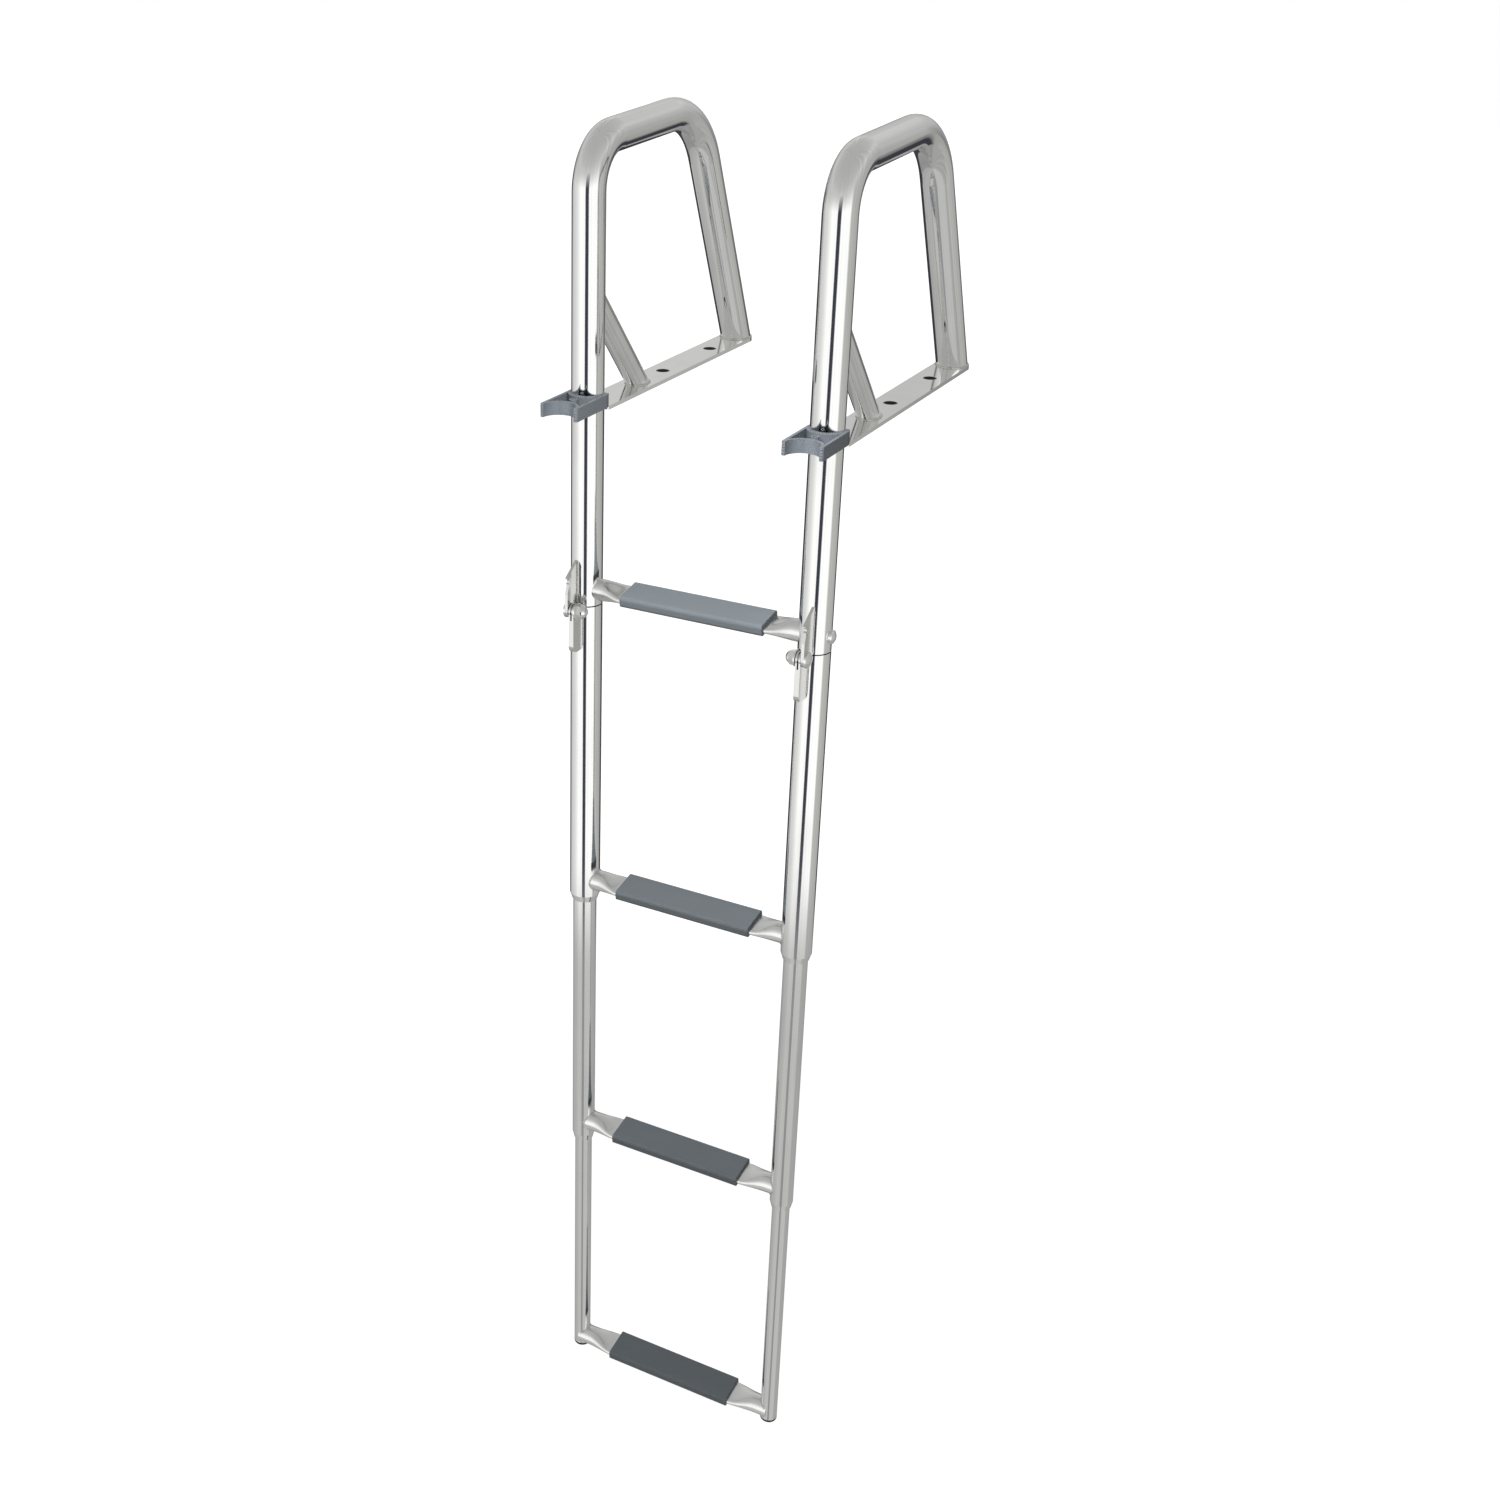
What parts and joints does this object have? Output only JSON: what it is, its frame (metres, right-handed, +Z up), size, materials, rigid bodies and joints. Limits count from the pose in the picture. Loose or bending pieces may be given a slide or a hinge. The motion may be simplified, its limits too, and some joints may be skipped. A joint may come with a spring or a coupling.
{
  "type": "folding telescopic swim ladder",
  "caption": "Stainless swim ladder with grab handles: a fold hinge swings the lower rails up into clips, and telescoping tubes carry plastic treads.",
  "frame": {"origin": "underside of the left mounting plate, in the middle of its two screw holes", "axes": "+X runs across to the right plate, +Y along the plates towards the boat or dock, +Z up"},
  "size_m": [0.287, 0.4016, 1.4223],
  "materials": {
    "stainless": "polished stainless steel",
    "tread_plastic": "satin grey moulded plastic",
    "clip_plastic": "satin blue-grey moulded plastic",
    "cap_plastic": "black moulded caps"
  },
  "bodies": {
    "upper_frame": {"left_handle_tube": "stainless", "left_strut": "stainless", "left_mounting_plate": "stainless", "left_double_clip": "clip_plastic", "left_upper_hinge_bracket": "stainless", "left_hinge_bolt": "stainless", "left_hinge_nut": "stainless", "left_rung_bolt": "stainless", "right_handle_tube": "stainless", "right_strut": "stainless", "right_mounting_plate": "stainless", "right_double_clip": "clip_plastic", "right_upper_hinge_bracket": "stainless", "right_hinge_bolt": "stainless", "right_hinge_nut": "stainless", "right_rung_bolt": "stainless", "rung_1": "stainless", "tread_1": "tread_plastic"},
    "folding_section": {"left_fold_tube": "stainless", "left_lower_hinge_bracket": "stainless", "left_upper_collar": "stainless", "right_fold_tube": "stainless", "right_lower_hinge_bracket": "stainless", "right_upper_collar": "stainless", "rung_2": "stainless", "tread_2": "tread_plastic"},
    "middle_section": {"left_middle_tube": "stainless", "left_lower_collar": "stainless", "right_middle_tube": "stainless", "right_lower_collar": "stainless", "rung_3": "stainless", "tread_3": "tread_plastic"},
    "lower_section": {"left_lower_tube": "stainless", "left_foot_cap": "cap_plastic", "right_lower_tube": "stainless", "right_foot_cap": "cap_plastic", "rung_4": "stainless", "tread_4": "tread_plastic"}
  },
  "joints": [
    {"name": "fold_hinge", "type": "hinge", "parent": "upper_frame", "child": "folding_section", "pos_m": [0.123, -0.2375, -0.196], "axis": [-1, 0, 0], "range_deg": [0, 180]},
    {"name": "middle_slide", "type": "slide", "parent": "folding_section", "child": "middle_section", "axis": [0, 0, 1], "range_m": [0, 0.27]},
    {"name": "lower_slide", "type": "slide", "parent": "middle_section", "child": "lower_section", "axis": [0, 0, 1], "range_m": [0, 0.27]}
  ]
}
